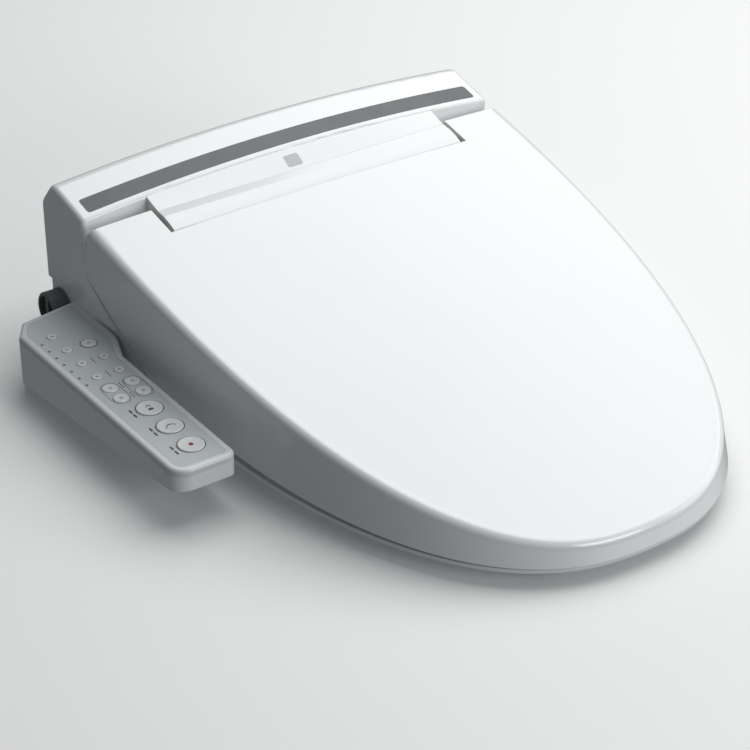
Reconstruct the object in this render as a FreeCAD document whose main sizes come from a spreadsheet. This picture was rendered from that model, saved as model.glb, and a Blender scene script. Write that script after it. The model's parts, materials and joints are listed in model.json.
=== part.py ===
import FreeCAD, Part
import math
import os
import re
from types import SimpleNamespace

import Sketcher

# Electric bidet seat: a heated seat and lid hinged on a main unit that is fixed to the bowl, with
# a control panel on the left-hand side.  Millimetres.  The origin is midway between the two
# mounting bolts, on the bowl's rim (z = 0).  +Z is up, -Y is the seat's front tip, +Y is the wall,
# and the control panel is on the -X side.

V = FreeCAD.Vector

SIZES = {
    # main unit
    "body_width": 390,          # over the two side walls
    "wall": 3,                  # moulded wall thickness
    "base_back": 47,            # rear face of the base, from the bolt line
    "cover_back": 56,           # rear face of the top cover
    "base_front": 88,           # front face of the base, in front of the bolt line
    "front_taper": 5,           # how much narrower each side is at the front face
    "base_bottom": 2,           # underside of the base above the rim, on its pads
    "seam_z": 54,               # joint between base and top cover
    "cover_top": 153,           # highest line of the top cover, on the centre plane
    "cover_crown": 10,          # how far the top drops from the centre to each side
    "top_slope": 0.257,         # fall of the top towards the front
    "top_back": 33,             # where the top meets the rear chamfer
    "top_front": 12,            # where the top ends, in front of the bolt line
    "fascia_front": 14.3,       # front fascia behind the lid's ears
    "shelf_z": 104,             # ledge that carries the nose cover
    "valley_front": 29,         # crease between the centre band and the nose cover
    "valley_z": 130,            # height of that crease
    "cover_round": 4,           # rounding of the cover's long edges
    # hinge, lid and seat
    "hinge_y": -40.5,
    "hinge_z": 117.5,
    "pin_radius": 3.5,
    "pin_fit": 0.05,            # radial running clearance on the pins
    "knuckle_radius": 7,
    "seat_knuckle_x": 144.5,    # inner face of each seat knuckle
    "seat_knuckle_width": 12,
    "lid_knuckle_x": 160,       # inner face of each lid knuckle
    "lid_knuckle_width": 15,
    "nose_half": 137,           # half length of the nose cover
    "nose_front": 54.5,         # front face of the nose cover
    "notch_half": 141,          # half width of the lid's notch around the nose cover
    "notch_front": 56,
    "ear_radius": 41.9,         # lower rear edge of the lid's ears, about the hinge
    "ear_slope": 0.7125,        # rise per run of the ears' lower edge
    "ear_gap": 1.2,             # gap between the ears and the main unit
    "lid_half": 195.94,         # lid's half width at its shoulder line
    "lid_length": 487.69,       # shoulder line, from its widest place to the tip
    "lid_widest_y": 22.07,
    "lid_tip_z": 30.6,          # height of the shoulder line at the tip
    "lid_slope": 0.2339,        # rise of the lid towards the hinge
    "lid_rise": 3,              # height of the crown above the shoulder line
    "lid_crown_side": 3.5,
    "lid_crown_long": 4.2,
    "lid_wall": 3,
    "rim_half": 187.68,         # lid's half width at its lower edge
    "rim_length": 353.1,
    "rim_widest_y": -116.21,
    "rim_flare": 6.32,          # how much wider the lower edge is at the hinge end
    "rim_tip_z": 15.1,
    "rim_slope": 0.02267,
    "seat_bottom": 11,
    "seat_plate": 3,
    "seat_margin": 1.5,         # lower seat shell inside the lid's lower edge
    "seat_inset": 6.5,          # upper seat shell inside the lid's lower edge
    "seat_front_z": 24,         # top of the seat at its tip
    "seat_slope": 0.05,
    "seat_back": 92,
    "seat_wall": 2.5,
    "hole_half": 105,           # opening in the seat
    "hole_long": 138,
    "hole_y": -262,
    "arch_half": 26,            # arch over the nozzles
    "arch_top": 22,
    # mounting plate
    "bolt_spacing": 140,
    "bolt_hole": 4.6,
    "plate_width": 190,
    "plate_depth": 80,
    "plate_thick": 4,
    "plate_gap": 0.8,
    "bolt_room": 22,            # width of the tunnels over the bolt heads
    "bolt_head": 12,            # height of those tunnels
    # control panel
    "panel_top": 50,
    "panel_split": 44,
    "panel_outer": 257,
    "panel_inner": 204,
    "panel_front": 249,
    "panel_back": 12,
    "panel_rear_z": 3,          # underside at the rear end
    "panel_rise": 0.103,        # rise of the underside towards the front
    "panel_wall": 2.5,
    "panel_round": 3,
    "overlay_inset": 5.5,
    "overlay_thick": 0.4,
    "column_outer": 236.5,      # button columns, from the centre plane
    "column_inner": 217.5,
    "column_middle": 226,
    "light_column": 248.5,
    "light_first": 36,
    "light_pitch": 11.9,
    "light_radius": 1.1,
    "large_button": 10,
    "medium_button": 6,
    "small_button": 4,
    "button_gap": 0.35,
    "button_proud": 0.8,
    "button_flange": 1,
    # washing, drying and electric parts
    "nozzle_radius": 6,
    "nozzle_length": 108,
    "nozzle_pitch": 18,
    "nozzle_tip_y": -86,
    "nozzle_tip_z": 14,
    "nozzle_angle": 28,         # below the horizontal
    "strainer_y": 30.5,
    "strainer_z": 36,
    "strainer_bore": 11,
    "collar_radius": 16,
    "cap_radius": 15.5,
    "cap_length": 12,
    "inlet_x": -150,
    "inlet_z": 26,
    "inlet_radius": 10.4,
    "gland_x": 150,
    "fan_x": 100,
    "fan_y": -2,
    "fan_radius": 24,
    "tank_wall": 2.5,
}

# Each button: its column, its distance in front of the bolt line and its size.
BUTTONS = {
    "stop_button": ("column_middle", 221.2, "large_button"),
    "shower_button": ("column_middle", 191.4, "large_button"),
    "bidet_button": ("column_middle", 161.7, "large_button"),
    "pressure_down_button": ("column_outer", 138, "medium_button"),
    "pressure_up_button": ("column_outer", 121.5, "medium_button"),
    "position_front_button": ("column_inner", 138, "medium_button"),
    "position_back_button": ("column_inner", 121.5, "medium_button"),
    "power_button": ("column_inner", 54, "medium_button"),
    "massage_button": ("column_inner", 78, "small_button"),
    "move_button": ("column_inner", 101.5, "small_button"),
    "water_heat_button": ("column_outer", 101.5, "small_button"),
    "seat_heat_button": ("column_outer", 78, "small_button"),
    "energy_saver_button": ("column_outer", 54, "small_button"),
    "nozzle_clean_button": ("column_outer", 30, "small_button"),
}
LIGHT_COUNT = 7

# The lid ear's rear edge, as offsets from the hinge axis (y, z), top to bottom.
EAR_EDGE = [(15.0, 12.0), (20.9, 4.9), (23.5, -1.5), (25.0, -8.5), (28.5, -21.0)]
EAR_TURN_Y = 29.0   # where the ear's edge turns under, behind the hinge axis
LIP_DEPTH = 7.5     # how far the lid's rear lip reaches below the hinge axis

doc = FreeCAD.newDocument("electric_bidet_seat")
sheet = doc.addObject("Spreadsheet::Sheet", "Sizes")
for row, (name, value) in enumerate(SIZES.items(), 1):
    sheet.set("A%d" % row, name)
    sheet.set("B%d" % row, str(value))
    sheet.setAlias("B%d" % row, name)
doc.recompute()
S = SimpleNamespace(**{name: float(sheet.get(name)) for name in SIZES})

PIECES = []
WORD = re.compile(r"[a-z][a-z_0-9]*")


def ex(text):
    """An expression in which each word that names a size refers to the sheet."""
    return WORD.sub(lambda found: "Sizes." + found.group() if found.group() in SIZES
                    else found.group(), str(text))


def piece(made, label):
    """Name a finished sub-part and keep it for export."""
    made.Label = label
    PIECES.append(made)
    return made


def bind(made, **values):
    for prop, text in values.items():
        made.setExpression(prop, ex(text))


def put(made, x=0, y=0, z=0):
    for axis, text in zip("xyz", (x, y, z)):
        made.setExpression("Placement.Base." + axis, ex(text))


def box(name, low, high):
    """A box between two corners, each given as three expressions."""
    made = doc.addObject("Part::Box", name)
    sizes = ["(%s) - (%s)" % (b, a) for a, b in zip(low, high)]
    bind(made, Length=sizes[0], Width=sizes[1], Height=sizes[2])
    put(made, *low)
    return made


TURNS = {"X": (V(0, 1, 0), 90), "Y": (V(1, 0, 0), -90), "Z": (V(0, 0, 1), 0)}


def rod(name, axis, radius, start, length):
    """A cylinder from the start point along +X, +Y or +Z."""
    made = doc.addObject("Part::Cylinder", name)
    made.Placement.Rotation = FreeCAD.Rotation(*TURNS[axis])
    bind(made, Radius=radius, Height=length)
    put(made, *start)
    return made


def fuse(name, *parts):
    made = doc.addObject("Part::MultiFuse", name)
    made.Shapes = list(parts)
    return made


def common(name, *parts):
    made = doc.addObject("Part::MultiCommon", name)
    made.Shapes = list(parts)
    return made


def cut(name, base, *tools):
    made = doc.addObject("Part::Cut", name)
    made.Base = base
    made.Tool = tools[0] if len(tools) == 1 else fuse(name + "_tools", *tools)
    return made


def sketch(body, plane, corners=(), circles=(), offset=0):
    """A sketch on the body's own plane; every corner, centre and radius is tied to the sheet."""
    made = body.newObject("Sketcher::SketchObject", body.Name + "_sketch")
    support = [item for item in body.Origin.OriginFeatures if item.Role == plane + "_Plane"][0]
    made.AttachmentSupport = [(support, "")]
    made.MapMode = "FlatFace"
    made.setExpression("AttachmentOffset.Base.z", ex(offset))
    count = len(corners)
    ring = [V(100 * math.cos(2 * math.pi * i / max(count, 1)),
              100 * math.sin(2 * math.pi * i / max(count, 1)), 0) for i in range(count)]
    for i in range(count):
        made.addGeometry(Part.LineSegment(ring[i], ring[(i + 1) % count]), False)
    for i in range(count):
        made.addConstraint(Sketcher.Constraint("Coincident", i, 2, (i + 1) % count, 1))
    for i, corner in enumerate(corners):
        for kind, text in zip(("DistanceX", "DistanceY"), corner):
            tie = made.addConstraint(Sketcher.Constraint(kind, -1, 1, i, 1, 50.0))
            made.setExpression("Constraints[%d]" % tie, ex(text))
    for x, y, radius in circles:
        ring_id = made.addGeometry(Part.Circle(V(10, 10, 0), V(0, 0, 1), 5), False)
        for kind, text in (("DistanceX", x), ("DistanceY", y)):
            tie = made.addConstraint(Sketcher.Constraint(kind, -1, 1, ring_id, 3, 10.0))
            made.setExpression("Constraints[%d]" % tie, ex(text))
        tie = made.addConstraint(Sketcher.Constraint("Radius", ring_id, 5.0))
        made.setExpression("Constraints[%d]" % tie, ex(radius))
    made.Visibility = False
    return made


def feature(body, kind, profile, length, **settings):
    """A Pad or Pocket of a sketch."""
    made = body.newObject("PartDesign::" + kind, body.Name + "_" + kind.lower())
    made.Profile = profile
    bind(made, Length=length)
    for prop, value in settings.items():
        setattr(made, prop, value)
    return made


def prism(name, plane, corners, start, length, circles=(), **settings):
    """A body with one padded sketch, from start along the plane's normal."""
    body = doc.addObject("PartDesign::Body", name)
    feature(body, "Pad", sketch(body, plane, corners, circles, start), length, **settings)
    return body


def fillet(body, radius, wanted):
    """Round the body's edges that the test picks."""
    doc.recompute()
    base = body.Tip
    names = ["Edge%d" % number for number, edge in enumerate(base.Shape.Edges, 1) if wanted(edge)]
    made = body.newObject("PartDesign::Fillet", body.Name + "_fillet")
    made.Base = (base, names)
    bind(made, Radius=radius)
    return made


def upright(edge, x=None, y=None, reach=1.0):
    """True for an edge along Z, near x and y where they are given."""
    box_of = edge.BoundBox
    return (box_of.XLength < 0.01 and box_of.YLength < 0.01
            and (x is None or abs(box_of.XMin - x) < reach)
            and (y is None or abs(box_of.YMin - y) < reach))


def solid(label, shape, number=None):
    """A sub-part whose shape is worked out from the sheet's values."""
    made = doc.addObject("Part::Feature", label)
    made.Shape = shape
    made.Placement = FreeCAD.Placement()
    if number is not False:
        piece(made, label)
    return made


def block(x0, x1, y0, y1, z0, z1):
    return Part.makeBox(x1 - x0, y1 - y0, z1 - z0, V(x0, y0, z0))


def round_wire(corners):
    """A closed wire in the YZ plane through (y, z, radius) corners, each one an arc of its radius."""
    edges = []
    points = [V(0, y, z) for y, z, _ in corners]
    last = None
    first = None
    for i, (_, _, radius) in enumerate(corners):
        here = points[i]
        before = (points[i - 1] - here).normalize()
        after = (points[(i + 1) % len(points)] - here).normalize()
        half = before.getAngle(after) / 2
        reach = radius / math.tan(half)
        start = here + before * reach
        end = here + after * reach
        if last is not None and (start - last).Length > 1e-6:
            edges.append(Part.makeLine(last, start))
        if radius > 0:
            middle_way = (before + after).normalize()
            middle = here + middle_way * (radius / math.sin(half) - radius)
            edges.append(Part.Arc(start, middle, end).toShape())
        if first is None:
            first = start
        last = end
    edges.append(Part.makeLine(last, first))
    return Part.Wire(edges)


def crowned(corners, crown_radius, top_z, half):
    """The YZ outline carried across X on a circle under top_z, between two flat sides."""
    face = Part.Face(round_wire(corners))
    centre = V(0, 0, top_z - crown_radius)
    sweep = 2 * math.degrees(math.asin(1.2 * half / crown_radius))
    face.rotate(centre, V(0, 1, 0), -sweep / 2)
    swept = face.revolve(centre, V(0, 1, 0), sweep)
    return swept.common(block(-half, half, -600, 200, 0, 400))


def side_prism(corners, x0, x1):
    """A YZ outline of (y, z) corners carried from x0 to x1."""
    points = [V(x0, y, z) for y, z in corners]
    return Part.Face(Part.makePolygon(points + points[:1])).extrude(V(x1 - x0, 0, 0))


def mirrored(shape):
    """The shape with its copy on the other side of the centre plane."""
    return shape.fuse(shape.mirror(V(0, 0, 0), V(1, 0, 0)))


HALF = S.body_width / 2
HINGE = V(0, S.hinge_y, S.hinge_z)
SLOPE_LENGTH = math.sqrt(1 + S.ear_slope ** 2)
APRON = "(hinge_z - (ear_radius + ear_gap) * sqrt(1 + ear_slope ^ 2))"


def apron_z(y, gap):
    """Height of the ears' slanting lower edge at y, moved down by a gap measured square to it."""
    return S.hinge_z - (S.ear_radius + gap) * SLOPE_LENGTH + S.ear_slope * (y - S.hinge_y)


def ear_outline(grow, front_y, top_z):
    """The lid ear seen from the side, grown on its rear and lower edges, as (y, z) corners."""
    edge = [V(0, S.hinge_y + y, S.hinge_z + z) for y, z in EAR_EDGE]
    turn_z = -math.sqrt(S.ear_radius ** 2 - EAR_TURN_Y ** 2)
    foot_angle = math.atan2(-1, S.ear_slope)
    turn_angle = math.atan2(turn_z, EAR_TURN_Y)
    arc = [HINGE + V(0, math.cos(a), math.sin(a)) * S.ear_radius
           for a in (turn_angle, (turn_angle + foot_angle) / 2, foot_angle)]
    line = edge + arc
    grown = []
    for i, point in enumerate(line):
        along = (line[min(i + 1, len(line) - 1)] - line[max(i - 1, 0)]).normalize()
        grown.append(point + V(0, -along.z, along.y) * grow)
    grown[-1] = line[-1] + (line[-1] - HINGE).normalize() * grow
    corners = [(point.y, point.z) for point in grown]
    return ([(corners[0][0], top_z)] + corners
            + [(front_y, apron_z(front_y, grow)), (front_y, top_z)])


# ---------------------------------------------------------------- main unit: base
def base_outline(inset):
    """Plan of the base, its walls moved in by an inset."""
    side = "(body_width / 2 - %s)" % inset
    front = "(body_width / 2 - front_taper - %s)" % inset
    back = "(base_back - %s)" % inset
    nose = "(base_front - %s)" % inset
    return [("-" + side, back), (side, back), (side, "-20"), (front, "-" + nose),
            ("-" + front, "-" + nose), ("-" + side, "-20")]


def base_profile(inset, top):
    """Side view of the base: flat top, slanting apron and short front face."""
    drop = "%s * sqrt(1 + ear_slope ^ 2)" % inset
    back = "base_back - %s" % inset
    nose = "-(base_front - %s)" % inset
    apron = "(%s - %s)" % (APRON, drop)
    return [(back, "base_bottom + %s" % inset), (back, top),
            ("hinge_y + (%s - %s) / ear_slope" % (top, apron), top),
            (nose, "%s + ear_slope * (%s - hinge_y)" % (apron, nose)),
            (nose, "base_bottom + %s" % inset)]


def base_block(name, inset, top):
    plan = prism(name + "_plan", "XY", base_outline(inset), 0, "seam_z + 20")
    side = prism(name + "_side", "YZ", base_profile(inset, top), 0, "body_width * 2", Midplane=True)
    return common(name, plan, side)


plate_low = ["-(plate_width / 2 + plate_gap)", "-(plate_depth / 2 + plate_gap)", "0"]
plate_high = ["plate_width / 2 + plate_gap", "base_back + 10", "plate_thick + plate_gap"]
cavity = base_block("base_cavity", "wall", "seam_z + 10")
recess_roof = box("recess_roof", ["-(plate_width / 2 + plate_gap + wall)",
                                  "-(plate_depth / 2 + plate_gap + wall)", "0"],
                  ["plate_width / 2 + plate_gap + wall", "base_back", "plate_thick + plate_gap + wall"])
tunnels = []
tunnel_roofs = []
for side, sign in (("left", "-"), ("right", "")):
    middle = "%sbolt_spacing / 2" % sign
    tunnels.append(box("tunnel_" + side, [middle + " - bolt_room / 2", "-bolt_room / 2 - 3", "0"],
                       [middle + " + bolt_room / 2", "base_back + 10", "bolt_head"]))
    tunnel_roofs.append(box("tunnel_roof_" + side,
                            [middle + " - bolt_room / 2 - wall", "-bolt_room / 2 - 3 - wall", "0"],
                            [middle + " + bolt_room / 2 + wall", "base_back", "bolt_head + wall"]))
SCREWS = [("-120", "36"), ("140", "36"), ("-176", "-20"), ("176", "-20")]
bosses = [rod("boss_%d" % i, "Z", 4.5, (x, y, "base_bottom"), "seam_z - base_bottom - 0.1")
          for i, (x, y) in enumerate(SCREWS)]
base_hollow = cut("base_hollow", cavity, recess_roof, *tunnel_roofs, *bosses)
openings = [
    box("plate_recess", plate_low, plate_high),
    box("nozzle_opening", ["-nozzle_pitch / 2 - nozzle_radius - 3", "-base_front - 5", "base_bottom + 2"],
        ["nozzle_pitch / 2 + nozzle_radius + 3", "-base_front + 8", "arch_top + 2"]),
    rod("strainer_opening", "X", "strainer_bore + 2", ("-body_width / 2 - 5", "strainer_y", "strainer_z"), 20),
    rod("inlet_opening", "Y", "inlet_radius + 0.6", ("inlet_x", "base_back - 8", "inlet_z"), 20),
    rod("gland_opening", "Y", 6, ("gland_x", "base_back - 8", "inlet_z"), 20),
    box("release_opening", ["body_width / 2 - 8", "-6.3", "19.7"], ["body_width / 2 + 5", "12.3", "32.3"]),
]
for i, (x, y) in enumerate(SCREWS):
    openings.append(rod("screw_hole_%d" % i, "Z", 1.6, (x, y, "base_bottom - 1"), 28))
    openings.append(rod("screw_head_hole_%d" % i, "Z", 3.6, (x, y, "base_bottom - 1"), 3.6))
base_shell = piece(cut("base_cut", base_block("base_outer", "0", "seam_z"), base_hollow, *tunnels,
                       *openings), "base_shell")

# ---------------------------------------------------------------- main unit: top cover and nose
CROWN_RADIUS = (HALF ** 2 + S.cover_crown ** 2) / (2 * S.cover_crown)
FRONT_TOP_Z = S.cover_top - S.top_slope * (S.top_back + S.top_front)


def cover_outline(inset, bottom):
    """Side view of the top cover on the centre plane, with its rounded corners."""
    corner = max(S.cover_round - inset, 0.5)
    return [(S.cover_back - inset, bottom, 0),
            (S.cover_back - inset, S.cover_top - 22 - inset * 0.4, 3 * corner),
            (S.top_back + 4 - inset * 0.6, S.cover_top - inset, 3 * corner),
            (-S.top_front + inset, FRONT_TOP_Z - inset, corner),
            (-S.fascia_front + inset, bottom, 0)]


def centre_band():
    """The band between the top and the valley crease, down to the shelf."""
    half = S.nose_half
    top = [V(x, -S.top_front + 0.5, FRONT_TOP_Z - 1.2 - x * x / (2 * CROWN_RADIUS)) for x in (-half, 0, half)]
    low = [V(x, -S.valley_front, S.valley_z) for x in (-half, half)]
    face = Part.makeRuledSurface(Part.Arc(*top).toShape(), Part.makeLine(*low))
    return face.extrude(V(0, 0, S.shelf_z - S.valley_z - 5))


def cover_body(inset, half):
    """The top cover's outer form, or its hollow when inset by the wall."""
    bottom = S.seam_z - (20 if inset else 0)
    rear = crowned(cover_outline(inset, 20), CROWN_RADIUS - inset, S.cover_top - inset, half)
    if not inset:
        rear = rear.makeFillet(S.cover_round, [edge for edge in rear.Edges if edge.BoundBox.XLength < 0.01
                                               and edge.BoundBox.ZMax > S.seam_z + 5])
    low = block(-half, half, -90, 0, bottom, 95)
    centre = S.nose_half - inset
    middle = side_prism([(0, bottom), (0, S.valley_z - 2), (-S.valley_front + inset, S.valley_z - 4),
                         (-S.valley_front + inset, S.shelf_z - inset),
                         (-S.nose_front + inset, S.shelf_z - inset), (-S.nose_front + inset, bottom)],
                        -centre, centre)
    ear = ear_outline(S.ear_gap + inset, -120, 220)
    ears = mirrored(side_prism(ear, S.nose_half + 2 - inset, HALF + 10))
    under = side_prism([(0, bottom - 50), (0, 95), (-S.nose_front + inset, 95),
                        (-S.nose_front + inset, bottom - 50)], -half, half)
    whole = rear.fuse([low.common(under), middle])
    if not inset:
        whole = whole.fuse(centre_band())
    return whole.cut(ears).common(block(-half, half, -100, 100, bottom, 300))


outer_cover = cover_body(0, HALF).removeSplitter()
cover_hollow = cover_body(S.wall, HALF - S.wall)
STRIP = (186, -7, 9.5, 1.2)     # half length, front, back and depth of the decor strip
WINDOW = (-14, 0, -26.5, -16.5, 1.0)


def skin(region, depth):
    """The top layer of the cover inside a region."""
    lowered = outer_cover.translated(V(0, 0, -depth))
    return region.common(outer_cover).cut(lowered)


strip_region = block(-STRIP[0], STRIP[0], STRIP[1], STRIP[2], 110, 170)
strip_region = strip_region.makeFillet(2.5, [e for e in strip_region.Edges if upright(e)])
window_region = block(WINDOW[0], WINDOW[1], WINDOW[2], WINDOW[3], 125, 170)
window_region = window_region.makeFillet(2, [e for e in window_region.Edges if upright(e)])
strip_shape = skin(strip_region, STRIP[3])
window_shape = skin(window_region, WINDOW[4])
cover_shape = outer_cover.cut([cover_hollow, strip_shape, window_shape])
solid("top_cover", cover_shape)
solid("decor_strip", strip_shape)
solid("sensor_window", window_shape)


def nose_outline(inset):
    back = -S.valley_front - 0.3 - inset
    front = -S.nose_front + inset
    top = S.valley_z - inset
    corner = max(3 - inset, 0.5)
    return [(back, S.shelf_z - (5 if inset else 0), 0), (back, top, 0), (-38, top - 0.8, 0),
            (-47, top - 3.2, 0), (front, top - 6.4, corner), (front, S.shelf_z - (5 if inset else 0), 0)]


nose_half_inner = S.nose_half - 2.5
nose_outer = Part.Face(round_wire(nose_outline(0))).extrude(V(2 * S.nose_half, 0, 0))
nose_outer.translate(V(-S.nose_half, 0, 0))
nose_inner = Part.Face(round_wire(nose_outline(2.5))).extrude(V(2 * nose_half_inner, 0, 0))
nose_inner.translate(V(-nose_half_inner, 0, 0))
pin_way = Part.makeCylinder(S.pin_radius + 0.2, 400, V(-200, S.hinge_y, S.hinge_z), V(1, 0, 0))
solid("nose_cover", nose_outer.cut([nose_inner, pin_way]))

# ---------------------------------------------------------------- lid
def superellipse(half, length, centre_y, power_x, power_y, steps=40):
    """Points of |x/half|^power_x + |(centre_y - y)/length|^power_y = 1 from right, round the tip, to left."""
    points = []
    for i in range(steps + 1):
        angle = math.pi * i / steps
        c = math.cos(angle)
        x = half * math.copysign(abs(c) ** (2 / power_x), c)
        y = centre_y - length * abs(math.sin(angle)) ** (2 / power_y)
        points.append((x, y))
    return points


def shoulder_points(inset):
    return superellipse(S.lid_half - inset, S.lid_length - inset, S.lid_widest_y, 2.44, 2.79)


def rim_points(inset):
    """The lid's lower edge: a superellipse in front, widening gently towards the hinge."""
    front = superellipse(S.rim_half - inset, S.rim_length - inset, S.rim_widest_y, 2.43, 2.39)
    rear = []
    reach = S.lid_widest_y - S.rim_widest_y
    for i in range(1, 5):
        y = S.rim_widest_y + reach * i / 4
        flare = S.rim_flare * ((y - S.rim_widest_y) / 96.2) ** 2
        rear.append((S.rim_half - inset + flare, y))
    return rear[::-1] + front + [(-x, y) for x, y in rear]


def plan_wire(points, height):
    """A closed wire through plan points, each at the height that the rule gives for its y."""
    spots = [V(x, y, height(y)) for x, y in points]
    curve = Part.BSplineCurve()
    curve.interpolate(spots)
    return Part.Wire([curve.toShape(), Part.makeLine(spots[-1], spots[0])])


def shoulder_z(y):
    return S.lid_tip_z + S.lid_slope * (y + S.lid_length - S.lid_widest_y)


def rim_z(y):
    return S.rim_tip_z + S.rim_slope * (y + S.rim_length - S.rim_widest_y)


def quadratic(start, end, level, slope, bend, centre):
    """Bezier heights of level + slope*t - bend*((t - centre)/half)^2 between start and end."""
    def value(a, b):
        return (level + slope * (a + b) / 2
                - bend * ((a - centre) * (b - centre)) / ((end - start) / 2) ** 2)
    return [value(start, start), value(start, end), value(end, end)]


def under_top(drop):
    """Everything below the lid's crowned top surface."""
    tip_y = S.lid_widest_y - S.lid_length
    x0, x1 = -S.lid_half - 20, S.lid_half + 20
    y0, y1 = tip_y - 20, S.lid_widest_y + 10
    side = S.lid_crown_side * (x1 / S.lid_half) ** 2
    long_bend = S.lid_crown_long * ((y1 - y0) / (2 * 222)) ** 2
    across = quadratic(x0, x1, 0, 0, side, 0)
    along = quadratic(y0, y1, S.lid_tip_z + S.lid_rise - S.lid_slope * tip_y - drop, S.lid_slope,
                      long_bend, tip_y + 218)
    poles = [[V(x, y, across[i] + along[j]) for j, y in enumerate((y0, (y0 + y1) / 2, y1))]
             for i, x in enumerate((x0, 0, x1))]
    surface = Part.BezierSurface()
    surface.increase(2, 2)
    for i in range(3):
        for j in range(3):
            surface.setPole(i + 1, j + 1, poles[i][j])
    return surface.toShape().extrude(V(0, 0, -250))


def lid_form(inset, drop, below):
    """The lid as a full solid: sides from rim to shoulder, closed by the crowned top."""
    rim = plan_wire(rim_points(inset), rim_z)
    shoulder = plan_wire(shoulder_points(inset), shoulder_z)
    parts = [Part.makeLoft([rim, shoulder], True, True),
             Part.Face(shoulder).extrude(V(0, 0, 20))]
    if below:
        parts.append(Part.Face(rim).extrude(V(0, 0, -below)))
    return parts[0].fuse(parts[1:]).common(under_top(drop))


lid_solid = lid_form(0, 0, 0)
ear = ear_outline(0, -600, 300)
lid_solid = lid_solid.common(side_prism(ear, -300, 300)).removeSplitter()
lid_hollow = lid_form(S.lid_wall, S.lid_wall, 10)
lip = ear_outline(-S.lid_wall, -600, 300)
lip_open = block(-300, 300, -600, 60, -20, S.hinge_z - LIP_DEPTH)
lid_hollow = lid_hollow.common(side_prism(lip, -300, 300).fuse(lip_open))
notch = block(-S.notch_half, S.notch_half, -S.notch_front, 60, 0, 300)
notch_bevel = side_prism([(-S.notch_front - 2.4, S.hinge_z + 12), (-S.notch_front, S.hinge_z + 6.4),
                          (-S.notch_front + 5, S.hinge_z + 6.4), (-S.notch_front + 5, S.hinge_z + 12)],
                         -S.notch_half, S.notch_half)
lid_x1 = S.lid_knuckle_x + S.lid_knuckle_width
knuckle = Part.makeCylinder(S.knuckle_radius, S.lid_knuckle_width, V(S.lid_knuckle_x, S.hinge_y, S.hinge_z),
                            V(1, 0, 0))
web = block(S.lid_knuckle_x, lid_x1, S.hinge_y - S.knuckle_radius, S.hinge_y + S.knuckle_radius,
            S.hinge_z, S.hinge_z + 20)
knuckles = mirrored(knuckle.fuse(web).common(lid_solid))
pin_bore = Part.makeCylinder(S.pin_radius + S.pin_fit, 500, V(-250, S.hinge_y, S.hinge_z), V(1, 0, 0))
bore_span = mirrored(block(S.notch_half, lid_x1 + 2, S.hinge_y - 20, S.hinge_y + 20, S.hinge_z - 20,
                           S.hinge_z + 20))
seat_room = mirrored(Part.makeCylinder(S.knuckle_radius + 0.6, S.seat_knuckle_width + 3,
                                       V(S.seat_knuckle_x - 1.5, S.hinge_y, S.hinge_z), V(1, 0, 0)))
lid_shape = lid_solid.cut(lid_hollow).fuse(knuckles)
lid_shape = lid_shape.cut([notch, notch_bevel, seat_room, pin_bore.common(bore_span)])
solid("lid_shell", lid_shape)

# ---------------------------------------------------------------- seat
SEAT_JOINT = S.seat_bottom + S.seat_plate


def seat_top(drop):
    """Everything below the seat's sloping top face."""
    tip_y = S.rim_widest_y - S.rim_length
    corners = [(tip_y - 20, -30), (tip_y - 20, S.seat_front_z - drop - 20 * S.seat_slope),
               (0, S.seat_front_z - drop - tip_y * S.seat_slope), (0, -30)]
    return side_prism(corners, -250, 250)


def ring(inset, hole_grow, z0, z1):
    """The seat's plan between two heights, with its outer edge moved in and its hole widened."""
    back = -S.seat_back - (inset - S.seat_margin)
    outer = Part.Face(plan_wire(rim_points(inset), lambda y: z0)).extrude(V(0, 0, z1 - z0))
    outer = outer.common(block(-300, 300, -600, back, z0, z1))
    points = superellipse(S.hole_half + hole_grow, S.hole_long + hole_grow, S.hole_y, 2.2, 2.2)
    points += [(x, 2 * S.hole_y - y) for x, y in points[-2:0:-1]]
    curve = Part.BSplineCurve()
    curve.interpolate([V(x, y, z0 - 1) for x, y in points], PeriodicFlag=True)
    hole = Part.Face(Part.Wire(curve.toShape())).extrude(V(0, 0, z1 - z0 + 2))
    return outer.cut(hole)


arch = block(-S.arch_half, S.arch_half, -140, -80, -5, S.arch_top)
arch_wall = block(-S.arch_half - S.seat_wall, S.arch_half + S.seat_wall, -140, -80, -5,
                  S.arch_top + S.seat_wall)
seat_outer = ring(S.seat_inset, 0, SEAT_JOINT, 80).common(seat_top(0))
seat_inner = ring(S.seat_inset + S.seat_wall, S.seat_wall, SEAT_JOINT - 5, 80).common(seat_top(S.seat_wall))
arm_side = [(S.hinge_y - 1.5, S.hinge_z + 6.5), (S.hinge_y - 21.5, S.hinge_z - 0.5), (-104, 45), (-104, 26),
            (-94, 26), (S.hinge_y - 21.5, S.hinge_z - 14.5), (S.hinge_y - 3.5, S.hinge_z - 6)]
arm = side_prism(arm_side, S.seat_knuckle_x, S.seat_knuckle_x + S.seat_knuckle_width)
arm = arm.fuse(Part.makeCylinder(S.knuckle_radius, S.seat_knuckle_width,
                                 V(S.seat_knuckle_x, S.hinge_y, S.hinge_z), V(1, 0, 0)))
arms = mirrored(arm.cut(block(100, 200, -200, 0, -10, SEAT_JOINT + 8)))
seat_shape = seat_outer.cut([seat_inner.cut(arch_wall), arch]).fuse(arms).cut(pin_bore)
solid("seat_upper_shell", seat_shape)
solid("seat_lower_shell", ring(S.seat_margin, 0, S.seat_bottom, SEAT_JOINT).cut(arch))
heater_inset = S.seat_inset + 14
heater = ring(heater_inset, 14, SEAT_JOINT, 80).common(seat_top(S.seat_wall + 0.1))
solid("seat_heater", heater.cut([seat_top(S.seat_wall + 0.7), arch_wall, block(-60, 60, -150, -80, 0, 80)]))
BUMPERS = [(70, -425), (150, -190)]
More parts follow.
